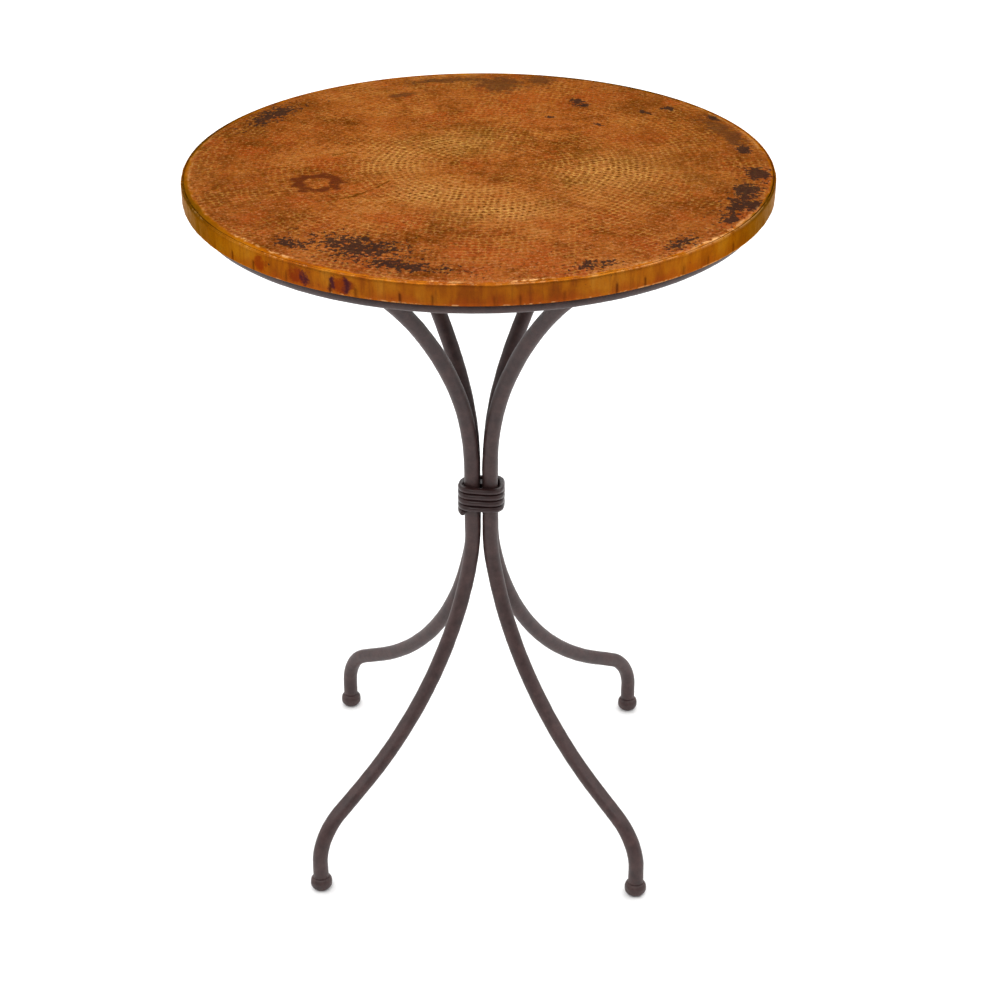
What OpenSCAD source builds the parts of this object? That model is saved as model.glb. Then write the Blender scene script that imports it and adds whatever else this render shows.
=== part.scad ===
// Round pub table: a hammered copper top wrapped over a wood core, carried by a ring
// and four bent iron legs that a wound iron rod binds together at the waist.
// Sizes are in millimetres. The origin is on the floor below the middle of the top,
// +Z points up, and the legs stand on the diagonals, so -Y is one of four like fronts.

/* [Top] */
// Diameter of the table top
top_d = 762; // [740:1:790]
// Height from the floor to the top face
top_h = 1016; // [1005:1:1040]
// Height of the edge of the top
top_t = 28; // [24:0.5:32]
// Thickness of the copper sheet
sheet_t = 1.3; // [1:0.1:1.6]
// Rounding of the top's outer edges
edge_round = 3; // [2:0.5:4]
// Width of the copper lip that is folded under the core
lip_w = 40; // [30:1:42]

/* [Ring] */
// Diameter of the rod that the support ring is made of
ring_rod_d = 17.5; // [15:0.5:19]
// Distance from the edge of the top to the middle of the ring's rod
ring_inset = 22; // [18:0.5:24]

/* [Legs] */
// Diameter of the leg bars
bar_d = 22.2; // [20:0.1:24]
// Distance from the table's axis to the middle of each foot
foot_reach = 320; // [300:1:340]
// Distance between neighbouring bars' centres at the waist
waist_pitch = 25; // [24.4:0.1:27]
// Height at which the ankle bend starts
ankle_h = 44; // [30:1:50]
// Radius of the ankle bend
ankle_bend = 80; // [75:1:90]
// Steepest lean of a leg, from vertical
splay = 60; // [56:1:63]
// Radius of the long sweep above the ankle
sweep_bend = 454; // [430:1:470]
// Lean at which the sweep turns into the waist bend
waist_tilt = 13; // [8:1:18]
// Radius of the bend that brings the bar upright at the waist
waist_bend = 200; // [150:1:260]
// Height at which the bars leave the waist and flare out
flare_h = 572; // [562:1:580]
// Radius of the first bend of the flare
flare_bend = 345; // [330:1:370]
// Lean at the end of the first bend of the flare
flare_tilt = 24; // [20:1:30]
// Radius of the second bend of the flare
crown_bend = 535; // [500:1:570]
// Lean at the end of the second bend of the flare
crown_tilt = 42; // [38:1:45]
// Lean of a leg's tip, which is drawn down to fit against the ring
tip_tilt = 73.5; // [72:0.5:74.5]
// Length of the drawn-down tip
tip_len = 30; // [24:1:34]
// Diameter of the tip's end
tip_d = 14; // [12:0.5:15]

/* [Feet] */
// Diameter of the rounded foot
foot_d = 31; // [28:0.5:34]
// Rounding of the foot's side
foot_round = 9.5; // [8:0.5:10]
// Height of the straight part of the foot's side
foot_side = 3; // [1:0.5:5]

/* [Waist collar] */
// Diameter of the rod that is wound round the legs
wrap_rod_d = 9.5; // [8:0.5:10]
// Height of the middle of the front of the collar
wrap_h = 534; // [526:1:540]
// Direction in which the wound rod starts at the top, from +X
wrap_start = 200; // [190:5:220]
// Angle through which the rod is wound
wrap_angle = 1465; // [1450:5:1475]
// Slope at which the collar sits lower at the back than at the front
wrap_slope = 0.11; // [0:0.01:0.15]
// Diameter of the spacer rod between the four bars
spacer_d = 13; // [12:0.1:13.1]
// Length of the spacer rod
spacer_len = 34; // [28:1:36]

/* [Fastenings] */
// Width of the mounting tabs
tab_w = 25; // [20:1:30]
// Thickness of the mounting tabs
tab_t = 4; // [3:0.5:5]
// Length of the mounting tabs
tab_len = 50; // [45:1:60]
// Distance from a tab's inner end to its screw hole
tab_hole_inset = 14; // [12:1:18]
// Diameter of the screws' shanks
screw_d = 4.5; // [4:0.1:5]
// Length of the screws under their heads
screw_len = 20; // [16:1:24]
// Number of tacks that hold the copper lip
tack_count = 16; // [12:4:16]
// Diameter of the tacks' heads
tack_head_d = 6; // [5:0.5:6]

/* [Hidden] */
$fn = 64;

// A cut runs this far past the solid that it cuts
past = 1;

// The top
top_r = top_d / 2;
underside_z = top_h - top_t;
core_bottom_z = underside_z + sheet_t;
core_r = top_r - sheet_t;
core_t = top_t - 2 * sheet_t;
core_round = edge_round - sheet_t;
lip_r = top_r - lip_w;

// The support ring touches the folded lip
ring_r = top_r - ring_inset;
ring_rod_r = ring_rod_d / 2;
ring_z = underside_z - ring_rod_r;

// The foot's side is two roundings with a straight stretch between them. Its base is
// sunk a little way below the lower rounding's tangent point, which leaves a flat to stand on.
bar_r = bar_d / 2;
foot_r = foot_d / 2;
foot_waist_r = foot_r - foot_round;
foot_sink = 0.5;
foot_low_z = foot_round - foot_sink;
foot_high_z = foot_low_z + foot_side;
foot_h = foot_high_z + sqrt(pow(foot_round, 2) - pow(bar_r - foot_waist_r, 2));

// A leg lies in a plane through the table's axis. The straight shin takes up what the
// bends leave of the way from the foot in to the waist.
waist_r = waist_pitch / sqrt(2);
bends_in = ankle_bend * (1 - cos(splay)) + sweep_bend * (cos(waist_tilt) - cos(splay))
    + waist_bend * (1 - cos(waist_tilt));
shin_len = (foot_reach - waist_r - bends_in) / sin(splay);
bends_up = ankle_bend * sin(splay) + sweep_bend * (sin(splay) - sin(waist_tilt))
    + waist_bend * sin(waist_tilt);
waist_low_z = ankle_h + shin_len * cos(splay) + bends_up;

// The last bend runs from the end of the crown bend to the drawn-down tip, which ends just
// inside the ring. A circular bend's chord leans half way between its two ends.
crown_r = waist_r + flare_bend * (1 - cos(flare_tilt))
    + crown_bend * (cos(flare_tilt) - cos(crown_tilt));
crown_z = flare_h + flare_bend * sin(flare_tilt)
    + crown_bend * (sin(crown_tilt) - sin(flare_tilt));
tip_gap = 0.5;
tip_r = ring_r - ring_rod_r + tip_gap;
last_reach = tip_r - tip_len * sin(tip_tilt) - crown_r;
last_rise = last_reach / tan((crown_tilt + tip_tilt) / 2);
last_bend = norm([last_reach, last_rise]) / (2 * sin((tip_tilt - crown_tilt) / 2));
tip_z = crown_z + last_rise + tip_len * cos(tip_tilt);

// Each step is a bend's radius and angle. A negative radius bends towards the table's axis,
// and a radius of 0 marks a straight stretch, whose second value is its length.
leg_steps = [
    [0, ankle_h - foot_h],
    [-ankle_bend, splay],
    [0, shin_len],
    [sweep_bend, splay - waist_tilt],
    [waist_bend, waist_tilt],
    [0, flare_h - waist_low_z],
    [flare_bend, flare_tilt],
    [crown_bend, crown_tilt - flare_tilt],
    [last_bend, tip_tilt - crown_tilt]
];

// How far each piece of a bent bar reaches into the last, and how much slimmer every other one is
bar_lap = 1;
bar_step = 0.1;

FRONT_LEFT = 225;
FRONT_RIGHT = 315;
REAR_RIGHT = 45;
REAR_LEFT = 135;

// The wound rod follows a rounded square round the four bars
wrap_rod_r = wrap_rod_d / 2;
wrap_gap = 0.1;
wrap_pitch = wrap_rod_d + wrap_gap;
wrap_half_w = waist_pitch / 2 + bar_r + wrap_rod_r + 2 * wrap_gap;
wrap_squareness = 3.9;
wrap_step = 11.25;
wrap_sides = 12;
wrap_turns_above_front = 70 / 360;
wrap_front_turns = 4;
wrap_top_z = wrap_h + wrap_pitch * (wrap_turns_above_front + (wrap_front_turns - 1) / 2);

// The spacer sits lower than the collar's front, because the collar slopes down to the back
spacer_z = wrap_h - wrap_slope * wrap_half_w;

// Welds
ring_weld_r = 2;
ring_weld_angle = 240;
waist_weld_r = 3.2;
waist_weld_reach = 17;
waist_weld_z = wrap_h - wrap_pitch * wrap_front_turns / 2 - waist_weld_r;
waist_weld_drop = wrap_pitch / 2 + 2 * wrap_slope * wrap_half_w;

// Tabs and screws
tab_outer_r = ring_r - 4;
tab_inner_r = tab_outer_r - tab_len;
tab_z = underside_z - tab_t;
screw_r = tab_inner_r + tab_hole_inset;
screw_tip = 5;
screw_head_d = 9;
screw_head_t = 2.8;
tab_hole_d = screw_d + 1;

// Tacks
tack_d = 1.8;
tack_len = 12;
tack_head_t = 0.9;
tack_r = lip_r + tack_head_d / 2 + 1;

// ---------- helpers ----------

// A round bar that starts at the origin along +Z and follows a list of steps. Each piece
// reaches a little way back into the last one, and every other piece is slightly slimmer,
// so that no two surfaces coincide.
module bent_bar(steps, i = 0) {
    if (i < len(steps)) {
        bend = steps[i][0];
        run = steps[i][1];
        lap = i == 0 ? 0 : bar_lap;
        d = bar_d - (i % 2) * bar_step;
        if (bend == 0) {
            translate([0, 0, -lap])
                cylinder(d = d, h = run + lap);
            translate([0, 0, run])
                bent_bar(steps, i + 1);
        } else {
            lap_angle = lap / abs(bend) * 180 / PI;
            translate([bend, 0, 0])
                rotate([90, 0, 0])
                    rotate([0, 0, bend > 0 ? 180 - run : -lap_angle])
                        rotate_extrude(angle = run + lap_angle, $fn = 180)
                            translate([abs(bend), 0])
                                circle(d = d);
            translate([bend * (1 - cos(run)), 0, abs(bend) * sin(run)])
                rotate([0, sign(bend) * run, 0])
                    bent_bar(steps, i + 1);
        }
    } else {
        drawn_tip();
    }
}

// The end of a leg's bar, drawn down to a smaller diameter
module drawn_tip() {
    translate([0, 0, -bar_lap])
        cylinder(d1 = bar_d - bar_step, d2 = tip_d, h = tip_len + bar_lap);
}

// A disc's half outline with rounded outer corners, from the axis out to r
module disc_outline(r, t, corner) {
    square([r - corner, t]);
    translate([0, corner])
        square([r, t - 2 * corner]);
    for (y = [corner, t - corner])
        translate([r - corner, y])
            circle(r = corner);
}

module ring_rod() {
    translate([0, 0, ring_z])
        rotate_extrude($fn = 180)
            translate([ring_r, 0])
                circle(r = ring_rod_r);
}

module tack_places() {
    for (i = [0 : tack_count - 1])
        rotate([0, 0, (i + 0.5) * 360 / tack_count])
            translate([tack_r, 0, 0])
                children();
}

module screw_places() {
    for (a = [0 : 90 : 270])
        rotate([0, 0, a])
            translate([screw_r, 0, 0])
                children();
}

// The shape of one screw's shank, from the tab's underside up
module screw_shank() {
    cylinder(d = screw_d, h = screw_len - screw_tip);
    translate([0, 0, screw_len - screw_tip])
        cylinder(d1 = screw_d, d2 = 1, h = screw_tip);
}

// The shape of one tack's shank, from the lip's underside up
module tack_shank() {
    cylinder(d1 = tack_d, d2 = 0.6, h = tack_len);
}

// ---------- table top ----------

// Copper sheet wrapped over the core, with its lip folded under the edge
module copper_skin() {
    color("#a5622d")
        difference() {
            translate([0, 0, underside_z])
                rotate_extrude($fn = 180)
                    difference() {
                        disc_outline(top_r, top_t, edge_round);
                        translate([0, sheet_t])
                            disc_outline(core_r, core_t, core_round);
                        translate([0, -past])
                            square([lip_r, sheet_t + 2 * past]);
                    }
            translate([0, 0, underside_z])
                tack_places()
                    tack_shank();
        }
}

// Laminated wood disc that gives the top its stiffness
module wood_core() {
    color("#b89468")
        difference() {
            translate([0, 0, core_bottom_z])
                rotate_extrude($fn = 180)
                    disc_outline(core_r, core_t, core_round);
            translate([0, 0, underside_z])
                tack_places()
                    tack_shank();
            translate([0, 0, tab_z])
                screw_places()
                    screw_shank();
        }
}

// Tacks that hold the folded lip to the core
module lip_tacks() {
    color("#8a4f26")
        translate([0, 0, underside_z])
            tack_places() {
                tack_shank();
                translate([0, 0, -tack_head_t])
                    cylinder(d1 = tack_head_d - 2 * tack_head_t, d2 = tack_head_d, h = tack_head_t);
            }
}

// ---------- iron base ----------

// Round rod ring that the top rests on
module support_ring() {
    color("#2c2422")
        ring_rod();
}

// One leg, bent from a single bar
module leg(azimuth) {
    color("#4a4042")
        rotate([0, 0, azimuth])
            translate([foot_reach, 0, foot_h])
                bent_bar(leg_steps);
}

// One rounded foot, forged on the end of its leg
module foot(azimuth) {
    color("#3c3435")
        rotate([0, 0, azimuth])
            translate([foot_reach, 0, 0])
                rotate_extrude()
                    intersection() {
                        union() {
                            for (y = [foot_low_z, foot_high_z])
                                translate([foot_waist_r, y])
                                    circle(r = foot_round);
                            translate([0, foot_low_z])
                                square([foot_r, foot_side]);
                            translate([0, -past])
                                square([foot_waist_r, foot_h + 2 * past]);
                        }
                        square([foot_r + past, foot_h]);
                    }
}

function power(x, n) = pow(abs(x), n);

// Distance from the axis to the wound rod's centre line, in a direction
function wrap_r(a) =
    wrap_half_w / pow(power(cos(a), wrap_squareness) + power(sin(a), wrap_squareness),
                      1 / wrap_squareness);

function wrap_point(a) = [
    wrap_r(a) * cos(a),
    wrap_r(a) * sin(a),
    wrap_top_z - wrap_pitch * (a - wrap_start) / 360 - wrap_slope * (wrap_half_w + wrap_r(a) * sin(a))
];

// Outward direction across the rod, level with the floor
function wrap_out(a) =
    let (run = wrap_point(a + 1) - wrap_point(a - 1))
    [run[1], -run[0], 0] / norm([run[0], run[1]]);

// One rod wound down round the legs. It starts at the left and ends at the front left.
module collar_wrap() {
    ring_total = ceil(wrap_angle / wrap_step) + 1;
    points = [
        for (i = [0 : ring_total - 1])
            let (a = wrap_start + i * wrap_angle / (ring_total - 1))
            for (s = [0 : wrap_sides - 1])
                let (turn = s * 360 / wrap_sides)
                wrap_point(a) + wrap_rod_r * (cos(turn) * wrap_out(a) + sin(turn) * [0, 0, 1])
    ];
    sides = [
        for (i = [0 : ring_total - 2])
            for (s = [0 : wrap_sides - 1])
                let (next = (s + 1) % wrap_sides, low = i * wrap_sides, high = low + wrap_sides)
                [low + s, high + s, high + next, low + next]
    ];
    start_cap = [for (s = [0 : wrap_sides - 1]) s];
    end_cap = [for (s = [wrap_sides - 1 : -1 : 0]) (ring_total - 1) * wrap_sides + s];
    color("#2b1f20")
        polyhedron(points = points, faces = concat(sides, [start_cap, end_cap]), convexity = 10);
}

// Short rod that holds the four bars apart inside the collar
module waist_spacer() {
    color("#2b1f20")
        translate([0, 0, spacer_z])
            cylinder(d = spacer_d, h = spacer_len, center = true);
}

// Weld beads in the four gaps between the bars, just below the collar
module waist_welds() {
    color("#3a3031")
        difference() {
            for (a = [0 : 90 : 270])
                rotate([0, 0, a])
                    translate([waist_weld_reach, 0, waist_weld_z - waist_weld_drop * (1 + sin(a)) / 2])
                        sphere(r = waist_weld_r);
            for (a = [REAR_RIGHT : 90 : FRONT_RIGHT])
                rotate([0, 0, a])
                    translate([waist_r, 0, waist_low_z])
                        cylinder(d = bar_d, h = flare_h - waist_low_z);
        }
}

// Weld beads that join each leg's tip to the support ring, along the sides and underneath
module ring_welds() {
    color("#3a3031")
        difference() {
            for (a = [REAR_RIGHT : 90 : FRONT_RIGHT])
                rotate([0, 0, a])
                    translate([tip_r, 0, tip_z])
                        rotate([0, tip_tilt, 0])
                            difference() {
                                rotate([0, 0, -ring_weld_angle / 2])
                                    rotate_extrude(angle = ring_weld_angle)
                                        translate([tip_d / 2, 0])
                                            circle(r = ring_weld_r);
                                translate([0, 0, -tip_len])
                                    drawn_tip();
                                cylinder(d = tip_d, h = bar_d);
                            }
            ring_rod();
        }
}

// Flat lug, welded inside the ring, that a screw passes through into the core
module tab(azimuth) {
    color("#3a3031")
        rotate([0, 0, azimuth])
            difference() {
                translate([tab_inner_r, -tab_w / 2, tab_z])
                    cube([tab_len, tab_w, tab_t]);
                translate([screw_r, 0, tab_z - past])
                    cylinder(d = tab_hole_d, h = tab_t + 2 * past);
                ring_rod();
            }
}

// Pan-head wood screws that hold the top down on the tabs
module tab_screws() {
    color("#8d8f92")
        translate([0, 0, tab_z])
            screw_places() {
                screw_shank();
                translate([0, 0, -screw_head_t])
                    cylinder(d1 = screw_head_d - 2, d2 = screw_head_d, h = screw_head_t);
            }
}

copper_skin();
wood_core();
lip_tacks();
support_ring();
leg(FRONT_LEFT);  // leg_front_left
leg(FRONT_RIGHT);  // leg_front_right
leg(REAR_RIGHT);  // leg_rear_right
leg(REAR_LEFT);  // leg_rear_left
foot(FRONT_LEFT);  // foot_front_left
foot(FRONT_RIGHT);  // foot_front_right
foot(REAR_RIGHT);  // foot_rear_right
foot(REAR_LEFT);  // foot_rear_left
collar_wrap();
waist_spacer();
waist_welds();
ring_welds();
tab(0);  // tab_right
tab(90);  // tab_rear
tab(180);  // tab_left
tab(270);  // tab_front
tab_screws();
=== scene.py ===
"""Looks for the round pub table with a hammered copper top.

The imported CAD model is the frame: every size below comes from it or repeats a driving size
of the part's source. The script replaces the visible CAD nodes with detailed meshes of the
same shape, gives every piece a node material, and adds the floor, the lights and the camera.
Lengths are in metres, angles in degrees where a name ends in _DEG, and +Z points up.
"""

import math

import bpy
import numpy as np
from mathutils import Matrix, Vector


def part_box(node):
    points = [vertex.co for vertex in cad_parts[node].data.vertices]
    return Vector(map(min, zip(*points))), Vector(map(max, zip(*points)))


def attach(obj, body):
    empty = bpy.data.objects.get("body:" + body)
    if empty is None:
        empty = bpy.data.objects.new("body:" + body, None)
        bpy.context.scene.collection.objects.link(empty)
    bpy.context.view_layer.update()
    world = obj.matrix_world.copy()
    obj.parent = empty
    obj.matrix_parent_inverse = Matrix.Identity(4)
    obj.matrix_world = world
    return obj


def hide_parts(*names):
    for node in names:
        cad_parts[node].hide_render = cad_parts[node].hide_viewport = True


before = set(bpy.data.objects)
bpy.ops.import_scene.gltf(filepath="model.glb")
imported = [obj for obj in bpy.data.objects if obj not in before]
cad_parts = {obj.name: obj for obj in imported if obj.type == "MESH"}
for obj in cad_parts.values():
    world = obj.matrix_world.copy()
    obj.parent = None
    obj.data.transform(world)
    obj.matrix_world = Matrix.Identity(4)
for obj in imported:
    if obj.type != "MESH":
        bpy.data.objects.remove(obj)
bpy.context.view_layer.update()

MM = 0.001
TAU = 2 * math.pi

# Which way each leg and each mounting tab points, in degrees from +X
LEG_AZIMUTHS = {
    "front_left": 225,
    "front_right": 315,
    "rear_right": 45,
    "rear_left": 135,
}
TAB_AZIMUTHS = {
    "right": 0,
    "rear": 90,
    "left": 180,
    "front": 270,
}

# ---------- sizes read from the frame ----------

skin_low, skin_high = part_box("copper_skin")
TOP_R = skin_high.x
TOP_Z = skin_high.z
UNDER_Z = skin_low.z

ring_low, ring_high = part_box("support_ring")
RING_ROD_R = (ring_high.z - ring_low.z) / 2
RING_Z = (ring_high.z + ring_low.z) / 2
RING_R = ring_high.x - RING_ROD_R

foot_low, foot_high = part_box("foot_rear_right")
FOOT_R = (foot_high.x - foot_low.x) / 2
FOOT_H = foot_high.z
FOOT_REACH = math.sqrt(2) * (foot_high.x + foot_low.x) / 2

# ---------- sizes repeated from the part's source ----------

SHEET_T = 1.3 * MM
EDGE_ROUND = 3 * MM
LIP_W = 40 * MM
CORE_R = TOP_R - SHEET_T
CORNER_R = TOP_R - EDGE_ROUND
LIP_R = TOP_R - LIP_W

BAR_R = 11.1 * MM
WAIST_PITCH = 25 * MM
ANKLE_H = 44 * MM
ANKLE_BEND = 80 * MM
SPLAY = math.radians(60)
SWEEP_BEND = 454 * MM
WAIST_TILT = math.radians(13)
WAIST_BEND = 200 * MM
FLARE_H = 572 * MM
FLARE_BEND = 345 * MM
FLARE_TILT = math.radians(24)
CROWN_BEND = 535 * MM
CROWN_TILT = math.radians(42)
TIP_TILT = math.radians(73.5)
TIP_LEN = 30 * MM
TIP_END_R = 7 * MM
TIP_R = RING_R - RING_ROD_R + 0.5 * MM

FOOT_ROUND = 9.5 * MM
FOOT_SIDE = 3 * MM
FOOT_SINK = 0.5 * MM

WRAP_ROD_R = 4.75 * MM
WRAP_HALF_W = WAIST_PITCH / 2 + BAR_R + WRAP_ROD_R + 0.2 * MM
WRAP_PITCH = 9.6 * MM
WRAP_H = 534 * MM
WRAP_START_DEG = 200
WRAP_ANGLE_DEG = 1465
WRAP_SLOPE = 0.11
WRAP_SQUARENESS = 3.9

WAIST_WELD_R = 3.2 * MM
WAIST_WELD_REACH = 17 * MM
WAIST_WELD_TOP = WRAP_H - 2 * WRAP_PITCH - WAIST_WELD_R
WAIST_WELD_DROP = WRAP_PITCH / 2 + 2 * WRAP_SLOPE * WRAP_HALF_W
RING_WELD_R = 2 * MM
RING_WELD_ANGLE = math.radians(240)

TAB_W = 25 * MM
TAB_T = 4 * MM
TAB_LEN = 50 * MM
TAB_OUTER_R = RING_R - 4 * MM
TAB_INNER_R = TAB_OUTER_R - TAB_LEN
TAB_CORNER = 6 * MM
SCREW_REACH = TAB_INNER_R + 14 * MM
SCREW_R = 2.25 * MM
SCREW_LEN = 20 * MM
SCREW_HEAD_R = 4.5 * MM
SCREW_HEAD_T = 2.8 * MM
SCREW_POINT_LEN = 5 * MM
CROSS_HALF_W = 0.55 * MM
CROSS_REACH = 2.6 * MM
CROSS_DEPTH = 1.4 * MM
TACK_COUNT = 16
TACK_HEAD_R = 3 * MM
TACK_HEAD_T = 0.9 * MM
TACK_LEN = 12 * MM
TACK_REACH = LIP_R + TACK_HEAD_R + 1 * MM

# ---------- mesh helpers ----------


def wobble(points, size, seed):
    """Smooth noise, mostly between -1 and 1, whose bumps are about size metres across."""
    source = np.random.default_rng(seed)
    count = 16
    directions = source.normal(size=(count, 3))
    directions /= np.linalg.norm(directions, axis=1)[:, None]
    waves = TAU / (2 * size) * source.uniform(0.7, 1.4, count)
    phases = source.uniform(0, TAU, count)
    return np.sin(points @ directions.T * waves + phases).sum(axis=1) / math.sqrt(count)


def new_piece(name, points, faces, material):
    """A smooth-shaded mesh object in the row frame."""
    mesh = bpy.data.meshes.new(name)
    mesh.from_pydata([tuple(point) for point in points], [], faces)
    mesh.shade_smooth()
    mesh.materials.append(material)
    piece = bpy.data.objects.new(name, mesh)
    bpy.context.scene.collection.objects.link(piece)
    return piece


def place_piece(piece, slot, *nodes):
    """Makes a piece ride on the table and stand for its CAD nodes."""
    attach(piece, "root")
    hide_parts(*nodes)


def even_angles(count):
    """Angles that share a full turn evenly."""
    return np.arange(count) * TAU / count


def unit_circle(angles):
    """Level points of radius 1 at the angles."""
    return np.column_stack([np.cos(angles), np.sin(angles), np.zeros(len(angles))])


def band_faces(rows, columns, first=0):
    """Quads between rows of points, where each row closes on itself."""
    faces = []
    for row in range(rows - 1):
        low = first + row * columns
        high = low + columns
        for i in range(columns):
            j = (i + 1) % columns
            faces.append((low + i, low + j, high + j, high + i))
    return faces


def capped_band(rows, columns):
    """A band whose first and last rows are closed by one face each."""
    faces = band_faces(rows, columns)
    faces.append(tuple(range(columns - 1, -1, -1)))
    faces.append(tuple(range((rows - 1) * columns, rows * columns)))
    return faces


def tube_mesh(centres, across, upward, radii, sides):
    """Points, outward directions and faces of a capped tube.

    Row i is a circle of radii[i] round centres[i], in the plane of across[i] and upward[i]."""
    turns = even_angles(sides)
    circle = (
        np.cos(turns)[None, :, None] * across[:, None, :]
        + np.sin(turns)[None, :, None] * upward[:, None, :]
    )
    points = centres[:, None, :] + radii[:, None, None] * circle
    return points, circle, capped_band(len(centres), sides)


def forged(points, outward, depth, seed):
    """Dents a surface inward a little, as hammering and scaling leave it."""
    flat = points.reshape(-1, 3)
    broad = wobble(flat, 18 * MM, seed)
    fine = wobble(flat, 6 * MM, seed + 1)
    dent = depth * np.clip(0.5 + 0.35 * broad + 0.25 * fine, 0, 1)
    return flat - outward.reshape(-1, 3) * dent[:, None]


def turned(azimuth_deg):
    """Rotation about the table's axis, as a matrix for points in rows."""
    angle = math.radians(azimuth_deg)
    cosine = math.cos(angle)
    sine = math.sin(angle)
    return np.array([[cosine, sine, 0], [-sine, cosine, 0], [0, 0, 1]])


def joined(parts):
    """Several (points, faces) shapes as one."""
    points = []
    faces = []
    count = 0
    for part_points, part_faces in parts:
        part_points = part_points.reshape(-1, 3)
        points.append(part_points)
        faces += [tuple(i + count for i in face) for face in part_faces]
        count += len(part_points)
    return np.vstack(points), faces


# ---------- material helpers ----------


class Nodes:
    """Short ways to add nodes to a material."""

    def __init__(self, name):
        self.material = bpy.data.materials.new(name)
        self.material.use_nodes = True
        self.tree = self.material.node_tree
        self.shader = self.tree.nodes["Principled BSDF"]
        self.place = self.add("ShaderNodeTexCoord").outputs["Object"]

    def add(self, kind, **settings):
        node = self.tree.nodes.new(kind)
        for key, value in settings.items():
            setattr(node, key, value)
        return node

    def feed(self, socket, value):
        if isinstance(value, bpy.types.NodeSocket):
            self.tree.links.new(value, socket)
        else:
            socket.default_value = value

    def math(self, operation, *values):
        node = self.add("ShaderNodeMath", operation=operation)
        for socket, value in zip(node.inputs, values):
            self.feed(socket, value)
        return node.outputs[0]

    def step(self, value, low, high):
        """0 below low, 1 above high, and smooth between."""
        node = self.add("ShaderNodeMapRange", interpolation_type="SMOOTHSTEP")
        self.feed(node.inputs["Value"], value)
        node.inputs["From Min"].default_value = low
        node.inputs["From Max"].default_value = high
        return node.outputs["Result"]

    def noise(self, scale, detail=3.0, roughness=0.55, stretch=(1, 1, 1)):
        """Noise between 0 and 1; scale is in bumps per metre."""
        mapping = self.add("ShaderNodeMapping")
        self.feed(mapping.inputs["Vector"], self.place)
        mapping.inputs["Scale"].default_value = stretch
        node = self.add("ShaderNodeTexNoise")
        self.feed(node.inputs["Vector"], mapping.outputs[0])
        node.inputs["Scale"].default_value = scale
        node.inputs["Detail"].default_value = detail
        node.inputs["Roughness"].default_value = roughness
        return node.outputs["Fac"]

    def mask(self, name):
        """A value that was stored on the vertices."""
        return self.add("ShaderNodeAttribute", attribute_name=name).outputs["Fac"]

    def blend_sum(self, *parts):
        """The sum of values times weights."""
        total = 0.0
        for value, weight in parts:
            total = self.math("MULTIPLY_ADD", value, weight, total)
        return total

    def mix(self, factor, first, second):
        node = self.add("ShaderNodeMix", data_type="RGBA", blend_type="MIX")
        self.feed(node.inputs[0], factor)
        self.feed(node.inputs[6], colour(first))
        self.feed(node.inputs[7], colour(second))
        return node.outputs[2]

    def ramp(self, value, *stops):
        """A colour ramp through (position, colour) stops."""
        node = self.add("ShaderNodeValToRGB")
        self.feed(node.inputs["Fac"], value)
        elements = node.color_ramp.elements
        while len(elements) < len(stops):
            elements.new(0.5)
        for element, (position, tone) in zip(elements, stops):
            element.position = position
            element.color = colour(tone)
        return node.outputs["Color"]

    def bump(self, height, distance, strength=1.0, normal=None):
        node = self.add("ShaderNodeBump")
        node.inputs["Distance"].default_value = distance
        node.inputs["Strength"].default_value = strength
        self.feed(node.inputs["Height"], height)
        if normal is not None:
            self.feed(node.inputs["Normal"], normal)
        return node.outputs["Normal"]

    def finish(self, **inputs):
        """Feeds the shader's inputs; an underscore in a name stands for a space."""
        for key, value in inputs.items():
            self.feed(self.shader.inputs[key.replace("_", " ")], value)
        return self.material


def colour(tone):
    """A hex colour such as "a5622d" as linear RGBA; anything else is passed on."""
    if not isinstance(tone, str):
        return tone
    parts = [int(tone[i : i + 2], 16) / 255 for i in (0, 2, 4)]
    linear = [p / 12.92 if p <= 0.04045 else ((p + 0.055) / 1.055) ** 2.4 for p in parts]
    return (*linear, 1.0)


# ---------- copper top ----------

# The hammer marks lie in rows round the centre, as far apart along a row as the rows are
MARK_PITCH = 8.4 * MM
MARK_DEPTH = 0.20 * MM
MARK_FADE = 6 * MM
ROW_SHIFT = 0.618
DISC_ROWS = 148

# The edge is beaten down by about RIM_DROP, over the last RIM_BAND of the top's radius and the
# first RIM_HEIGHT of the side. The patina stops at the shoulder, which lies SHOULDER_IN from
# the outline, and farther in by SHOULDER_EXTRA round the azimuth SHOULDER_EXTRA_DEG
RIM_BAND = 13 * MM
RIM_HEIGHT = 12 * MM
RIM_DROP = 0.75 * MM
SHOULDER_IN = 7.5 * MM
SHOULDER_EXTRA = 5 * MM
SHOULDER_EXTRA_DEG = -150
SHOULDER_SPREAD_DEG = 26

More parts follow.
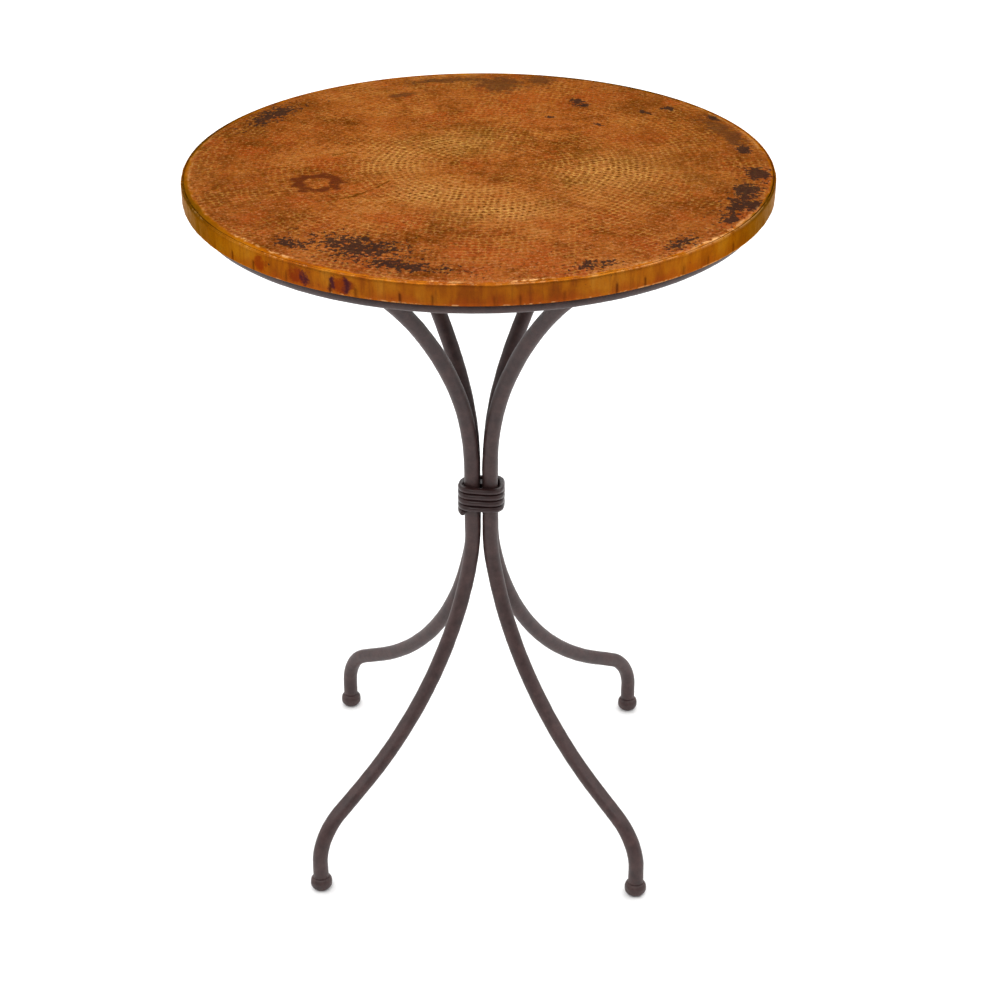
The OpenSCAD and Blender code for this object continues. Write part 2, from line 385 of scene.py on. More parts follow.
# Marks of the fire patina: azimuth in degrees, distance from the centre, half size along the
# circle and half size across it
CHARCOAL_SPOTS = [
    (64, 0.287, 0.012, 0.009),
    (60.5, 0.275, 0.012, 0.009),
    (44, 0.305, 0.012, 0.005),
    (42, 0.340, 0.008, 0.007),
    (31.5, 0.366, 0.012, 0.006),
    (46, 0.224, 0.008, 0.004),
    (64.5, 0.209, 0.008, 0.005),
    (10.5, 0.350, 0.014, 0.009),
    (-3.5, 0.360, 0.018, 0.015),
    (-13.5, 0.346, 0.018, 0.013),
    (-21, 0.368, 0.020, 0.008),
    (-30, 0.360, 0.010, 0.007),
]
CHARCOAL_CLOUDS = [
    (147, 0.349, 0.050, 0.018),
    (-114, 0.296, 0.024, 0.012),
    (-116, 0.305, 0.060, 0.030),
    (-104, 0.338, 0.050, 0.014),
    (-128, 0.338, 0.026, 0.014),
    (-66, 0.354, 0.030, 0.012),
    (-45.5, 0.356, 0.026, 0.014),
    (-20, 0.354, 0.060, 0.016),
]
SPECKLED_PATCHES = [
    (-90, 0.345, 0.250, 0.026),
    (-113, 0.300, 0.110, 0.050),
    (-20, 0.345, 0.200, 0.030),
    (95, 0.345, 0.300, 0.022),
    (150, 0.340, 0.120, 0.030),
]
PURPLE_PATCHES = [
    (87, 0.325, 0.032, 0.036),
    (78, 0.356, 0.022, 0.018),
    (100, 0.350, 0.060, 0.010),
    (113, 0.302, 0.026, 0.008),
    (22, 0.352, 0.060, 0.014),
]
BROWN_PATCHES = [
    (0, 0.290, 0.150, 0.070),
    (-178, 0.345, 0.070, 0.030),
    (-161, 0.330, 0.080, 0.050),
    (35, 0.330, 0.120, 0.050),
    (100, 0.340, 0.120, 0.030),
    (150, 0.345, 0.110, 0.030),
    (-55, 0.056, 0.022, 0.014),
    (-5, 0.036, 0.014, 0.014),
    (-140, 0.300, 0.050, 0.030),
]
# Lighter, golder patches with stronger marks; the first one, right of the centre, is painted sheen
# where a lamp's reflection lies
GILT_AND_SHEEN_PATCHES = [
    (-11, 0.172, 0.070, 0.060),
    (-122, 0.115, 0.060, 0.035),
    (115, 0.085, 0.060, 0.040),
    (165, 0.105, 0.060, 0.035),
    (-78, 0.160, 0.060, 0.030),
]
OLIVE_PATCHES = [
    (-158, 0.378, 0.110, 0.030),
    (165, 0.378, 0.120, 0.030),
    (-18, 0.378, 0.100, 0.030),
    (60, 0.378, 0.140, 0.030),
]
# Where the rubbed shoulder shows most: its light colour is partly real wear and partly painted
# highlight, placed where the edge would mirror the lamps
WORN_AND_GLINT_PATCHES = [
    (-138, 0.370, 0.034, 0.030),
    (-128, 0.370, 0.022, 0.030),
    (-96, 0.375, 0.030, 0.030),
    (-80, 0.375, 0.020, 0.030),
    (-37, 0.375, 0.034, 0.030),
]
RIM_REDS = [
    (-130, 0.381, 0.010, 0.030),
    (-121, 0.381, 0.014, 0.030),
    (-112, 0.381, 0.016, 0.030),
    (35, 0.381, 0.020, 0.030),
    (140, 0.381, 0.018, 0.030),
]
RIM_BURNS = [
    (-119.6, 0.381, 0.007, 0.030),
    (-114, 0.381, 0.004, 0.030),
    (-111, 0.381, 0.004, 0.030),
    (35, 0.381, 0.008, 0.030),
    (140, 0.381, 0.006, 0.030),
]

# The ring-shaped stain, and the points that each hairline scratch runs through
STAIN_CENTRE = (-0.201, -0.069)
STAIN_OUTER_R = 0.035
STAIN_INNER_R = 0.015
CRACKS = [
    [(-0.172, -0.124), (-0.150, -0.112), (-0.130, -0.092), (-0.110, -0.057)],
    [(-0.190, 0.032), (-0.174, 0.042), (-0.162, 0.043)],
]

# The creases where the sheet is folded round the edge
CRIMP_SPACING = 48 * MM
CRIMP_HALF_W = 2.2 * MM


def disc_mesh(rows, radius):
    """A flat disc of nearly even triangles. Row k has 6k points, so the last has 6 * rows."""
    points = [(0.0, 0.0)]
    starts = [0]
    for k in range(1, rows + 1):
        starts.append(len(points))
        r = radius * k / rows
        for i in range(6 * k):
            angle = TAU * i / (6 * k)
            points.append((r * math.cos(angle), r * math.sin(angle)))
    faces = []
    for k in range(1, rows + 1):
        inner_count = max(1, 6 * (k - 1))
        for sector in range(6):
            for i in range(k):
                outer = sector * k + i
                inner = sector * (k - 1) + i
                a = starts[k] + outer
                b = starts[k] + (outer + 1) % (6 * k)
                c = starts[k - 1] + inner % inner_count
                faces.append((a, b, c))
                if i < k - 1:
                    faces.append((b, starts[k - 1] + (inner + 1) % inner_count, c))
    return np.array(points), faces, starts[-1]


def mark_relief(place):
    """Depth of the hammer marks at each place, from 0 on a ridge to about 1 in a mark."""
    r = np.hypot(place[:, 0], place[:, 1])
    row = np.floor(r / MARK_PITCH)
    count = np.round(TAU * (row + 0.5))
    along = np.arctan2(place[:, 1], place[:, 0]) / TAU * count + row * ROW_SHIFT
    cell = np.mod(np.floor(along), count)
    offset = np.hypot(r / MARK_PITCH - row - 0.5, along - np.floor(along) - 0.5)
    luck = np.modf(np.abs(np.sin(row * 12.99 + cell * 78.23) * 4375.85))[0]
    return (0.4 + 0.9 * luck) * np.clip(1 - (2 * offset) ** 2, 0, 1)


def patch_mask(points, patches):
    """How far each point lies inside a list of soft patches, from 0 up to 1.3 in the middle."""
    r = np.hypot(points[:, 0], points[:, 1])
    azimuth = np.arctan2(points[:, 1], points[:, 0])
    mask = np.zeros(len(points))
    for azimuth_deg, distance, along, across in patches:
        turn = azimuth - math.radians(azimuth_deg)
        turn = (turn + math.pi) % TAU - math.pi
        reach = (turn * distance / along) ** 2 + ((r - distance) / across) ** 2
        mask = np.maximum(mask, 1.3 * np.exp(-0.7 * reach))
    return mask


def stain_mask(points):
    """The ring-shaped burn mark left of the centre."""
    offset = points[:, :2] - np.array(STAIN_CENTRE)
    r = np.hypot(offset[:, 0], offset[:, 1])
    outer = STAIN_OUTER_R + 4 * MM * wobble(points, 9 * MM, 31)
    inner = STAIN_INNER_R + 3 * MM * wobble(points, 7 * MM, 32)
    blur = 4 * MM
    return np.clip((outer - r) / blur, 0, 1) * np.clip((r - inner) / blur, 0, 1)


def crack_mask(points):
    """Thin dark lines that wander across the sheet."""
    mask = np.zeros(len(points))
    shift = 1.5 * MM * np.stack([wobble(points, 8 * MM, 33), wobble(points, 8 * MM, 34)], axis=1)
    place = points[:, :2] + shift
    for line in CRACKS:
        for start, end in zip(line, line[1:]):
            start = np.array(start)
            run = np.array(end) - start
            share = np.clip((place - start) @ run / (run @ run), 0, 1)
            gap = np.linalg.norm(place - start - share[:, None] * run, axis=1)
            mask = np.maximum(mask, np.clip(1.6 - gap / (1.3 * MM), 0, 1))
    return mask


def crimp_depth(angles):
    """1 in the middle of a crease in the edge and 0 away from it."""
    source = np.random.default_rng(7)
    count = round(TAU * TOP_R / CRIMP_SPACING)
    places = (np.arange(count) + source.uniform(-0.3, 0.3, count)) * TAU / count
    depth = np.zeros(len(angles))
    width = CRIMP_HALF_W / TOP_R
    for place, strength in zip(places, source.uniform(0.2, 1.0, count)):
        gap = np.abs((angles - place + math.pi) % TAU - math.pi)
        depth = np.maximum(depth, strength * np.clip(1 - gap / width, 0, 1))
    return depth


def edge_profile():
    """(radius, height, share of rubbed colour and painted highlight) from the top's rim round the
    edge, under the lip and back inside.
    """
    profile = []
    # These values are partly real wear and partly painted highlight: a bright line on the upper
    # rounding and, on the lower rounding, the pale line of the floor's reflection
    for turn, wear_and_glint in zip(np.radians([22.5, 45, 67.5, 90]), (0.3, 0.1, 0.0, 0.0)):
        radius = CORNER_R + EDGE_ROUND * math.sin(turn)
        profile.append((radius, TOP_Z - EDGE_ROUND * (1 - math.cos(turn)), wear_and_glint))
    side_h = TOP_Z - UNDER_Z - 2 * EDGE_ROUND
    for share in np.linspace(0.125, 0.875, 7):
        profile.append((TOP_R, TOP_Z - EDGE_ROUND - share * side_h, 0.0))
    for turn, wear_and_glint in zip(np.radians([90, 67.5, 45, 22.5, 0]), (0.0, 0.4, 0.6, 0.4, 0.0)):
        radius = CORNER_R + EDGE_ROUND * math.sin(turn)
        profile.append((radius, UNDER_Z + EDGE_ROUND * (1 - math.cos(turn)), wear_and_glint))
    for share in (0.2, 0.4, 0.6, 0.8, 0.97):
        profile.append((CORNER_R - share * (CORNER_R - LIP_R), UNDER_Z, 0.0))
    profile.append((LIP_R, UNDER_Z + 0.3 * SHEET_T, 0.0))
    profile.append((LIP_R, UNDER_Z + SHEET_T, 0.0))
    profile.append((CORNER_R, UNDER_Z + SHEET_T, 0.0))
    profile.append((CORE_R, UNDER_Z + EDGE_ROUND, 0.0))
    profile.append((CORE_R, TOP_Z - EDGE_ROUND, 0.0))
    profile.append((CORNER_R, TOP_Z - SHEET_T, 0.0))
    return profile


def rim_drop(angles):
    """How far the hammered edge is beaten down, round the rim."""
    circle = TOP_R * unit_circle(angles)
    wave = 0.35 * wobble(circle, 13 * MM, 14) + 0.35 * wobble(circle, 40 * MM, 15)
    return RIM_DROP * np.clip(1 + wave, 0.3, 1.5)


def crimp_reach(points):
    """1 low on the side, where the creases are, and 0 higher up."""
    crimp_top = TOP_Z - 0.45 * (TOP_Z - UNDER_Z)
    return np.clip((crimp_top - points[:, 2]) / (4 * MM), 0, 1)


def side_dent(points, crimp):
    """How far the side is pushed in: flats where it was beaten, pleats, and creases low down."""
    upright = points * [1, 1, 0.4]
    flats = 0.2 * wobble(upright, 11 * MM, 16) + 0.2 * wobble(upright, 30 * MM, 17)
    pleats = 0.06 * wobble(points * [1, 1, 0.1], 3.5 * MM, 18)
    return MM * np.clip(0.25 + flats + pleats + 0.8 * crimp * crimp_reach(points), 0, 1.1)


def mark_places(flat):
    """Each point's place in the pattern of marks, which strays a little, as hand work does."""
    level = np.column_stack([flat, np.zeros(len(flat))])
    drift = np.stack([wobble(level, 30 * MM, 11), wobble(level, 30 * MM, 12)], axis=1)
    jitter = np.stack([wobble(level, 7 * MM, 21), wobble(level, 7 * MM, 22)], axis=1)
    return flat + 1.6 * MM * drift + 1.0 * MM * jitter


def hammered_face(flat, place):
    """The top's face: marks and a slight swell, both fading out at the beaten-down rim."""
    level = np.column_stack([flat, np.zeros(len(flat))])
    r = np.hypot(flat[:, 0], flat[:, 1])
    fade = np.clip((CORNER_R - r) / MARK_FADE, 0, 1)
    swell = 0.2 * MM * (1 + wobble(level, 55 * MM, 13).clip(-1, 1))
    rim_share = np.clip((r - CORNER_R + RIM_BAND) / RIM_BAND, 0, 1) ** 2
    drop = rim_share * rim_drop(np.arctan2(flat[:, 1], flat[:, 0]))
    height = TOP_Z - MARK_DEPTH * mark_relief(place) * fade - swell * fade - drop
    return np.column_stack([flat, height])


def edge_rows(angles, crimp):
    """Rows of points along edge_profile, dented where they show, and the share of rubbed colour and
    painted highlight on each point.
    """
    circle = unit_circle(angles)
    rows = []
    wear_and_glint = []
    for radius, z, worn_and_glinting in edge_profile():
        row = circle * radius + [0, 0, z]
        if radius > CORE_R and z > UNDER_Z:
            share = min(1, (radius - CORNER_R) / EDGE_ROUND)
            row -= circle * share * side_dent(row, crimp)[:, None]
            row[:, 2] -= rim_drop(angles) * np.clip((z - TOP_Z + RIM_HEIGHT) / RIM_HEIGHT, 0, 1)
        rows.append(row)
        wear_and_glint.append(np.full(len(angles), worn_and_glinting))
    return rows, wear_and_glint


def copper_top(material):
    """The hammered sheet: one closed skin with marks on top, crimps round the edge and a lip."""
    flat, faces, last_row = disc_mesh(DISC_ROWS, CORNER_R)
    place = mark_places(flat)
    columns = 6 * DISC_ROWS
    angles = even_angles(columns)
    crimp = crimp_depth(angles)
    rows, wear_and_glint = edge_rows(angles, crimp)
    faces += band_faces(len(rows) + 1, columns, last_row)
    points = np.vstack([hammered_face(flat, place), *rows, [[0, 0, TOP_Z - SHEET_T]]])
    centre = len(points) - 1
    inner = centre - columns
    faces += [(inner + i, inner + (i + 1) % columns, centre) for i in range(columns)]
    skin = new_piece("copper_top", points, faces, material)
    add_masks(skin, points, place, np.concatenate(wear_and_glint + [[0]]), crimp)
    return skin


def shoulder_radius(points):
    """Where the patina of the top ends and the smoother edge begins."""
    azimuth = np.degrees(np.arctan2(points[:, 1], points[:, 0]))
    share = np.exp(-(((azimuth - SHOULDER_EXTRA_DEG) / SHOULDER_SPREAD_DEG) ** 2))
    wave = 1.2 * MM * wobble(points, 12 * MM, 35)
    return TOP_R - SHOULDER_IN - SHOULDER_EXTRA * share + wave


def add_masks(skin, points, place, edge_wear_and_glint, crimp):
    """Stores on each vertex where the patina's features lie, and where highlight, sheen and crease
    shade are painted, for the material to use.
    """
    count = len(place)
    face = points[:count]
    past_shoulder = np.hypot(face[:, 0], face[:, 1]) - shoulder_radius(face)
    # A light band along the shoulder, partly real wear and partly painted highlight, strongest in the
    # listed patches
    worn_and_glint_share = 0.30 + 0.70 * patch_mask(face, WORN_AND_GLINT_PATCHES).clip(0, 1)
    face_wear_and_glint = worn_and_glint_share * np.exp(-((past_shoulder / (1.8 * MM)) ** 2))
    side = np.ones(len(points))
    side[:count] = np.clip(past_shoulder / (2.5 * MM), 0, 1)
    height = (points[:, 2] - UNDER_Z) / (TOP_Z - UNDER_Z)
    mid_height = (1 - (2.2 * height - 1.0) ** 2).clip(0, 1)
    crimps = np.zeros(len(points))
    rows = (len(points) - count) // len(crimp)
    crimps[count : count + rows * len(crimp)] = np.tile(crimp, rows)
    clouds = 0.8 * patch_mask(points, CHARCOAL_CLOUDS)
    spots = 1.3 * patch_mask(points, CHARCOAL_SPOTS)
    masks = {
        "charcoal": np.maximum(clouds, spots) * (1 - side),
        "purple": patch_mask(points, PURPLE_PATCHES),
        "brown": patch_mask(points, BROWN_PATCHES),
        "gilt_and_sheen": patch_mask(points, GILT_AND_SHEEN_PATCHES) * (1 - side),
        "speckled": patch_mask(points, SPECKLED_PATCHES) * (1 - side),
        "olive": patch_mask(points, OLIVE_PATCHES) * side,
        "redden": patch_mask(points, RIM_REDS) * side * mid_height,
        "burn": patch_mask(points, RIM_BURNS) * side * mid_height,
        "height": height,
        "stain": stain_mask(points) * (1 - side),
        "crack": crack_mask(points) * (1 - side),
        "side": side,
        "wear_and_glint": np.concatenate([face_wear_and_glint, edge_wear_and_glint]),
        # Where painted shade darkens the creases low on the side
        "crimp": (1.7 * crimps * crimp_reach(points) * side).clip(0, 1),
    }
    for name, values in masks.items():
        layer = skin.data.attributes.new(name, "FLOAT", "POINT")
        layer.data.foreach_set("value", values.astype(np.float32))
    mark_place = points.copy()
    mark_place[:count, :2] = place
    layer = skin.data.attributes.new("mark_place", "FLOAT_VECTOR", "POINT")
    layer.data.foreach_set("vector", mark_place.astype(np.float32).ravel())


def mark_nodes(n):
    """Distance from a mark's middle, in the rows of mark_relief, and a random value per mark."""
    parts = n.add("ShaderNodeSeparateXYZ")
    n.feed(parts.inputs[0], n.add("ShaderNodeAttribute", attribute_name="mark_place").outputs[1])
    x, y = parts.outputs[0], parts.outputs[1]
    r = n.math("SQRT", n.math("ADD", n.math("MULTIPLY", x, x), n.math("MULTIPLY", y, y)))
    rows = n.math("DIVIDE", r, MARK_PITCH)
    row = n.math("FLOOR", rows)
    count = n.math("ROUND", n.math("MULTIPLY", n.math("ADD", row, 0.5), TAU))
    turn = n.math("DIVIDE", n.math("ARCTAN2", y, x), TAU)
    along = n.math("ADD", n.math("MULTIPLY", turn, count), n.math("MULTIPLY", row, ROW_SHIFT))
    cell = n.math("FLOORED_MODULO", n.math("FLOOR", along), count)
    u = n.math("SUBTRACT", n.math("FRACT", along), 0.5)
    v = n.math("SUBTRACT", n.math("FRACT", rows), 0.5)
    offset = n.math("SQRT", n.math("ADD", n.math("MULTIPLY", u, u), n.math("MULTIPLY", v, v)))
    key = n.add("ShaderNodeCombineXYZ")
    n.feed(key.inputs[0], row)
    n.feed(key.inputs[1], cell)
    luck = n.add("ShaderNodeTexWhiteNoise")
    n.feed(luck.inputs["Vector"], key.outputs[0])
    return offset, luck.outputs["Value"]


def patina_clouds(n):
    """The patina's base colours: brown, orange and gold clouds, broken up by fine specks; the gilt
    patch right of the centre is painted sheen.
    """
    wide = n.noise(5, 4, 0.6)
    middling = n.noise(19, 5, 0.6)
    fine = n.noise(75, 4, 0.65)
    tone = n.blend_sum((wide, 0.35), (middling, 0.35), (fine, 0.30))
    base = n.ramp(
        tone, (0.40, "481f14"), (0.46, "683220"), (0.50, "7b4029"), (0.54, "864a2c"), (0.61, "8f5b38")
    )
    red = n.step(n.noise(13, 5, 0.65), 0.50, 0.62)
    base = n.mix(n.math("MULTIPLY", red, 0.55), base, "823524")
    brown = n.math("MULTIPLY", n.mask("brown"), n.step(n.noise(40, 4, 0.6), 0.35, 0.6))
    base = n.mix(n.math("MULTIPLY", brown, 0.6), base, "52291c")
    # Gilt patches: lighter gold, and in the one right of the centre a painted sheen
    base = n.mix(n.math("MULTIPLY", n.mask("gilt_and_sheen"), 0.45), base, "946840")
    dark_speck = n.step(n.noise(210, 4, 0.7), 0.50, 0.64)
    base = n.mix(n.math("MULTIPLY", dark_speck, 0.60), base, "3b1b15")
    light_speck = n.step(n.noise(270, 3, 0.65), 0.53, 0.66)
    return n.mix(n.math("MULTIPLY", light_speck, 0.45), base, "a97857")


def rim_colours(n, base):
    """The side of the top: smooth ochre, redder low down, with burns and painted shade in the
    creases.
    """
    streak = n.noise(36, 4, 0.6, (1, 1, 0.35))
    ochre = n.ramp(streak, (0.34, "814011"), (0.46, "965211"), (0.58, "9f5d15"), (0.70, "a4671e"))
    low = n.blend_sum((n.mask("height"), -1.0), (n.noise(28, 4, 0.65, (1, 1, 0.4)), 1.6))
    ochre = n.mix(n.math("MULTIPLY", n.step(low, 0.25, 0.75), 0.55), ochre, "8d3b14")
    ochre = n.mix(n.math("MULTIPLY", n.mask("olive"), 0.75), ochre, "55390f")
    lines = n.step(n.noise(230, 3, 0.6, (1, 1, 0.12)), 0.5, 0.68)
    ochre = n.mix(n.math("MULTIPLY", lines, 0.30), ochre, "643213")
    base = n.mix(n.mask("side"), base, ochre)
    cloud = n.noise(120, 4, 0.7)
    redden = n.step(n.blend_sum((n.mask("redden"), 1.0), (cloud, 2.4)), 1.50, 2.2)
    base = n.mix(n.math("MULTIPLY", redden, 0.7), base, "70200f")
    burn = n.step(n.blend_sum((n.mask("burn"), 1.0), (cloud, 3.0)), 1.85, 2.75)
    base = n.mix(n.math("MULTIPLY", burn, 0.80), base, "2c1626")
    # The dark lines down the creases are painted shade
    return n.mix(n.math("MULTIPLY", n.mask("crimp"), 0.9), base, "42180a")


def copper_material():
    """Hammered copper with a fire patina: clouds, dark pits, light ridges, burns and wear, with
    painted highlight on the worn edge and painted sheen in one gilt patch.
    """
    n = Nodes("copper_patina")
    offset, luck = mark_nodes(n)
    top = n.math("SUBTRACT", 1.0, n.mask("side"))
    base = patina_clouds(n)
    patchy = n.step(n.noise(14, 3, 0.6), 0.42, 0.62)
    # Marks show stronger in the gilt patches, so the painted sheen right of the centre brings out the
    # ridges
    strength = n.blend_sum((n.mask("gilt_and_sheen"), 0.7), (patchy, 0.4), (1.0, 0.15))
    strength = n.math("MULTIPLY", strength, top)
    pit = n.math("SUBTRACT", 1.0, n.step(offset, 0.08, 0.36))
    pit = n.math("MULTIPLY", pit, n.step(luck, 0.15, 0.6))
    ridge = n.math("MULTIPLY", n.step(offset, 0.40, 0.54), n.step(n.noise(60, 3, 0.6), 0.35, 0.6))
    base = n.mix(n.math("MULTIPLY", n.math("MULTIPLY", pit, strength), 0.85), base, "38201a")
    base = n.mix(n.math("MULTIPLY", n.math("MULTIPLY", ridge, strength), 0.65), base, "b08a50")
    base = rim_colours(n, base)
    speckle = n.noise(110, 4, 0.7)
    purple = n.math("ADD", n.mask("purple"), n.math("MULTIPLY", speckle, 2.4))
    base = n.mix(n.math("MULTIPLY", n.step(purple, 1.50, 2.25), 0.75), base, "2f1f28")
    lucky_pit = n.math("MULTIPLY", n.math("SUBTRACT", luck, 0.4), pit)
    strokes = n.noise(165, 4, 0.65)
    char = n.blend_sum((n.mask("charcoal"), 0.62), (strokes, 2.6), (lucky_pit, 0.35))
    char = n.step(n.blend_sum((char, 1.0), (n.mask("speckled"), 0.16)), 1.80, 1.97)
    base = n.mix(n.math("MULTIPLY", char, 0.88), base, "1f1b20")
    stain = n.math("MULTIPLY", n.mask("stain"), n.step(speckle, 0.30, 0.45))
    base = n.mix(n.math("MULTIPLY", stain, 0.92), base, "3d1620")
    base = n.mix(n.math("MULTIPLY", n.mask("crack"), 0.85), base, "2c150f")
    # Light rubbed colour along the edge: partly real wear, partly painted highlight where the edge
    # would mirror the lamps
    patches = n.blend_sum((n.noise(8, 2, 0.5), 0.5), (n.noise(110, 4, 0.7), 0.5))
    worn_and_glinting = n.math("MULTIPLY", n.mask("wear_and_glint"), n.step(patches, 0.50, 0.57))
    base = n.mix(n.math("MULTIPLY", worn_and_glinting, 0.80), base, "e4b680")
    roughness = n.blend_sum((1.0, 0.30), (speckle, 0.24), (char, 0.25), (worn_and_glinting, -0.18))
    dish = n.math("MULTIPLY", n.math("MULTIPLY", offset, offset), top)
    normal = n.bump(dish, 0.8 * MM, 0.6)
    normal = n.bump(n.noise(300, 4, 0.65), 0.4 * MM, 0.5, normal)
    return n.finish(
        Base_Color=base,
        Metallic=1.0,
        Roughness=roughness,
        Specular_Tint=colour("f0c8a0"),
        Normal=normal,
    )


# ---------- iron base ----------

PATH_STEP = 4 * MM
BAR_SIDES = 28


def follow(steps, r, z):
    """Points (r, z, lean) along a bar that starts upright at (r, z).

    A step is a bend's radius and angle, or (0, length) for a straight stretch. A positive
    radius bends away from the table's axis, and a negative one towards it."""
    lean = 0.0
    path = [(r, z, lean)]
    for bend, run in steps:
        length = run if bend == 0 else abs(bend) * run
        count = max(2, round(length / PATH_STEP))
        turn = 0.0 if bend == 0 else math.copysign(run, bend) / count
        chord = length / count if bend == 0 else 2 * abs(bend) * math.sin(abs(turn) / 2)
        for _ in range(count):
            r += chord * math.sin(lean + turn / 2)
            z += chord * math.cos(lean + turn / 2)
            lean += turn
            path.append((r, z, lean))
    return path


def leg_path():
    """Centre line of a leg from the foot to its tip, just inside the ring."""
    waist_r = WAIST_PITCH / math.sqrt(2)
    bends_in = ANKLE_BEND * (1 - math.cos(SPLAY)) + WAIST_BEND * (1 - math.cos(WAIST_TILT))
    bends_in += SWEEP_BEND * (math.cos(WAIST_TILT) - math.cos(SPLAY))
    shin = (FOOT_REACH - waist_r - bends_in) / math.sin(SPLAY)
    foot_end = FOOT_H - 1 * MM
    lower = [
        (0, ANKLE_H - foot_end),
        (-ANKLE_BEND, SPLAY),
        (0, shin),
        (SWEEP_BEND, SPLAY - WAIST_TILT),
        (WAIST_BEND, WAIST_TILT),
    ]
    waist_z = follow(lower, FOOT_REACH, foot_end)[-1][1]
    upper = [
        (0, FLARE_H - waist_z),
        (FLARE_BEND, FLARE_TILT),
        (CROWN_BEND, CROWN_TILT - FLARE_TILT),
    ]
    crown_r = follow(lower + upper, FOOT_REACH, foot_end)[-1][0]
    reach = TIP_R - TIP_LEN * math.sin(TIP_TILT) - crown_r
    rise = reach / math.tan((CROWN_TILT + TIP_TILT) / 2)
    last_bend = math.hypot(reach, rise) / (2 * math.sin((TIP_TILT - CROWN_TILT) / 2))
    last = [(last_bend, TIP_TILT - CROWN_TILT), (0, TIP_LEN)]
    return np.array(follow(lower + upper + last, FOOT_REACH, foot_end))


def leg(name, azimuth_deg, material):
    """One bar, bent from the foot to the ring."""
    path = leg_path()
    zero = np.zeros(len(path))
    one = np.ones(len(path))
    to_tip = np.hypot(path[:, 0] - path[-1, 0], path[:, 1] - path[-1, 1])
    radii = np.interp(to_tip, [0, TIP_LEN], [TIP_END_R, BAR_R])
    centres = np.column_stack([path[:, 0], zero, path[:, 1]])
    across = np.column_stack([np.cos(path[:, 2]), zero, -np.sin(path[:, 2])])
    sideways = np.column_stack([zero, one, zero])
    points, circle, faces = tube_mesh(centres, across, sideways, radii, BAR_SIDES)
    points = forged(points, circle, 0.35 * MM, 40 + azimuth_deg)
    piece = new_piece("bar_" + name, points @ turned(azimuth_deg), faces, material)
    place_piece(piece, "iron", "leg_" + name)


def revolved(profile, sides):
    """Points, outward directions and faces of a solid of revolution.

    The profile is a list of (radius, height) pairs, from the bottom up."""
    circle = unit_circle(even_angles(sides))
    rows = [circle * r + [0, 0, z] for r, z in profile]
    outward = np.vstack([circle] * len(profile))
    return np.vstack(rows), outward, capped_band(len(profile), sides)


def foot_profile():
    """(radius, height) up the side of a foot, from its flat base to the bar."""
    waist = FOOT_R - FOOT_ROUND
    low_z = FOOT_ROUND - FOOT_SINK
    start = math.acos(low_z / FOOT_ROUND)
    base_r = waist + FOOT_ROUND * math.sin(start)
    profile = [(0.3 * FOOT_R, 0.0), (base_r - 1 * MM, 0.0)]
    for turn in np.linspace(start, math.pi / 2, 9):
        profile.append((waist + FOOT_ROUND * math.sin(turn), low_z - FOOT_ROUND * math.cos(turn)))
    high_z = low_z + FOOT_SIDE
    stop = math.acos((BAR_R - waist - 0.6 * MM) / FOOT_ROUND)
    for turn in np.linspace(0.0, stop, 10):
        profile.append((waist + FOOT_ROUND * math.cos(turn), high_z + FOOT_ROUND * math.sin(turn)))
    last_r, last_z = profile[-1]
    profile.append((last_r - 1.5 * MM, last_z + 0.2 * MM))
    return profile


def foot(name, azimuth_deg, material):
    """One forged foot, a flattened knob that the bar stands in."""
    points, outward, faces = revolved(foot_profile(), 40)
    points = points + [FOOT_REACH, 0, 0]
    off_floor = points[:, 2:] > 0.2 * MM
    points = np.where(off_floor, forged(points, outward, 0.5 * MM, 60 + azimuth_deg), points)
    piece = new_piece("knob_" + name, points @ turned(azimuth_deg), faces, material)
    place_piece(piece, "iron", "foot_" + name)


def ring_rod(material):
    """The round rod ring under the top."""
    count = 360
    sides = 24
    out = unit_circle(even_angles(count))
    rolls = even_angles(sides)
    upward = np.array([0, 0, 1.0])
    circle = (
        np.cos(rolls)[None, :, None] * out[:, None, :] + np.sin(rolls)[None, :, None] * upward
    )
    points = out[:, None, :] * RING_R + [0, 0, RING_Z] + RING_ROD_R * circle
    points = forged(points, circle, 0.25 * MM, 80)
    faces = []
    for i in range(count):
        j = (i + 1) % count
        for s in range(sides):
            t = (s + 1) % sides
            faces.append((i * sides + s, j * sides + s, j * sides + t, i * sides + t))
    piece = new_piece("ring_rod", points, faces, material)
    place_piece(piece, "iron", "support_ring")


def wrap_path(turn):
    """Centre line of the wound rod, by the angle it has turned through from its start."""
    angle = math.radians(WRAP_START_DEG) + turn
    spread = np.abs(np.cos(angle)) ** WRAP_SQUARENESS + np.abs(np.sin(angle)) ** WRAP_SQUARENESS
    r = WRAP_HALF_W / spread ** (1 / WRAP_SQUARENESS)
    before_front = (270 - WRAP_START_DEG) / 360
    top_z = WRAP_H + WRAP_PITCH * (before_front + 1.5)
    z = top_z - WRAP_PITCH * turn / TAU - WRAP_SLOPE * (WRAP_HALF_W + r * np.sin(angle))
    return np.column_stack([r * np.cos(angle), r * np.sin(angle), z])


